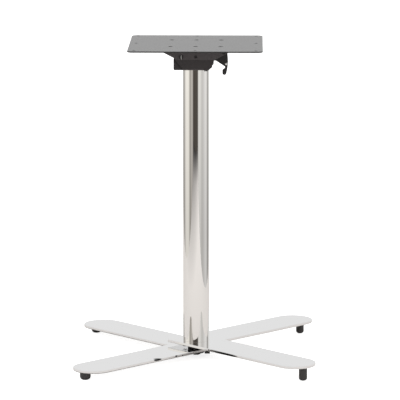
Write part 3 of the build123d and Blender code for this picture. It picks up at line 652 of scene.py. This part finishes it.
def make_world():
    """White to the camera, even daylight on matt surfaces, and the room's bands in gloss."""
    world = bpy.data.worlds.new("studio")
    bpy.context.scene.world = world
    world.use_nodes = True
    tree = world.node_tree
    path = tree.nodes.new("ShaderNodeLightPath").outputs
    _, way = coordinates(tree, "Generated")

    turn = calculate(tree, "ARCTAN2", way["X"], calculate(tree, "MULTIPLY", way["Y"], -1.0))
    whole_turn = map_range(tree, turn, (-math.pi, 0.0), (math.pi, 1.0))
    ramp = add_node(tree, "ShaderNodeValToRGB", Fac=whole_turn)
    elements = ramp.color_ramp.elements
    while len(elements) < len(ROOM_BANDS):
        elements.new(0.5)
    for element, (degrees, colour) in zip(elements, ROOM_BANDS):
        element.position = degrees / 360 + 0.5
        element.color = (*colour, 1.0)
    room = scale_vector(tree, ramp.outputs["Color"], map_range(tree, way["Z"], ROOM_LOW, ROOM_EYE))

    aside = calculate(tree, "ABSOLUTE", turn)
    start, end = math.radians(BACKDROP_START), math.radians(BACKDROP_END)
    behind = map_range(tree, aside, (start, 0.0), (end, 1.0))
    above = map_range(tree, way["Z"], (0.0, 0.0), (BACKDROP_FOOT, 1.0))
    ceiling = map_range(tree, way["Z"], (CEILING_START, 0.0), (CEILING_END, 1.0))
    white = calculate(tree, "MAXIMUM", calculate(tree, "MULTIPLY", behind, above), ceiling)
    gloss = mix_colour(tree, white, room, BACKDROP_GLOSS)

    shiny = calculate(tree, "MAXIMUM", path["Is Glossy Ray"], path["Is Transmission Ray"])
    unseen = mix_colour(tree, shiny, DAYLIGHT, gloss)
    colour = mix_colour(tree, path["Is Camera Ray"], unseen, WHITE)
    feed(tree, tree.nodes["Background"].inputs["Color"], colour)


def paper_in_polish(tree):
    """The paper as rays that don't come from the camera meet it, with painted shade: its tone falls to the
    front left and towards its front edge.
    """
    place, axes = coordinates(tree)
    gain = calculate_vector(tree, "DOT_PRODUCT", place, PAPER_GAIN, result="Value")
    slope = map_range(tree, gain, (-PAPER_SHARE, 0.0), (PAPER_MOST - PAPER_SHARE, PAPER_MOST))
    front = map_range(tree, axes["Y"], PAPER_FRONT_LOW, PAPER_FRONT_HIGH)
    tone = scale_vector(tree, PAPER_IN_POLISH, calculate(tree, "MULTIPLY", slope, front))
    return add_node(tree, "ShaderNodeBsdfDiffuse", Color=tone).outputs["BSDF"]


def make_floor():
    """A strip of white paper, lifted to white where the camera sees it, and clear from below."""
    corners = [
        (PAPER_LEFT, PAPER_FRONT, 0.0),
        (PAPER_RIGHT, PAPER_FRONT, 0.0),
        (PAPER_RIGHT, PAPER_BACK, 0.0),
        (PAPER_LEFT, PAPER_BACK, 0.0),
    ]
    mesh = bpy.data.meshes.new("floor")
    mesh.from_pydata(corners, [], [(0, 1, 2, 3)])
    floor = bpy.data.objects.new("floor", mesh)
    bpy.context.scene.collection.objects.link(floor)

    material, tree, shader = new_material("paper", PAPER_COLOUR, 0.0, PAPER_ROUGHNESS)
    shader.inputs["Specular IOR Level"].default_value = 0.0
    glow = add_node(tree, "ShaderNodeEmission", Strength=PAPER_GLOW)
    lifted = tree.nodes.new("ShaderNodeAddShader")
    feed(tree, lifted.inputs[0], shader.outputs["BSDF"])
    feed(tree, lifted.inputs[1], glow.outputs["Emission"])
    camera_ray = tree.nodes.new("ShaderNodeLightPath").outputs["Is Camera Ray"]
    from_above = mix_shaders(tree, camera_ray, paper_in_polish(tree), lifted.outputs["Shader"])
    from_below = tree.nodes.new("ShaderNodeBsdfTransparent").outputs["BSDF"]
    underside = tree.nodes.new("ShaderNodeNewGeometry").outputs["Backfacing"]
    surface = mix_shaders(tree, underside, from_above, from_below)
    feed(tree, tree.nodes["Material Output"].inputs["Surface"], surface)
    mesh.materials.append(material)


def add_soft_light(name, place, power):
    """A square area light that points at the object and doesn't show in the polish."""
    light = bpy.data.lights.new(name, "AREA")
    light.size = LIGHT_SIZE
    light.energy = power
    lamp = bpy.data.objects.new(name, light)
    bpy.context.scene.collection.objects.link(lamp)
    aim = np.array(LIGHT_TARGET) - np.array(place)
    flat = math.hypot(aim[0], aim[1])
    lamp.location = place
    lamp.rotation_euler = (math.atan2(flat, -aim[2]), 0.0, math.atan2(-aim[0], aim[1]))
    lamp.visible_glossy = False


def make_camera():
    """The photograph's viewpoint, as a long lens well back from the object."""
    camera_data = bpy.data.cameras.new("camera")
    camera_data.sensor_width = SENSOR_WIDTH
    camera_data.lens = FOCAL_LENGTH
    camera_data.clip_end = CAMERA_REACH
    camera = bpy.data.objects.new("camera", camera_data)
    bpy.context.scene.collection.objects.link(camera)
    camera.location = CAMERA_PLACE
    camera.rotation_euler = (math.radians(CAMERA_TILT), 0.0, math.radians(CAMERA_TURN))
    bpy.context.scene.camera = camera


make_world()
make_floor()
add_soft_light("key", KEY_PLACE, KEY_POWER)
add_soft_light("fill", FILL_PLACE, FILL_POWER)
make_camera()
finishes = make_materials()
dress_nodes(finishes)
make_feet(finishes)
make_column(finishes)
make_rivet(finishes)
make_spring(finishes)

bpy.context.scene.view_settings.view_transform = "Standard"
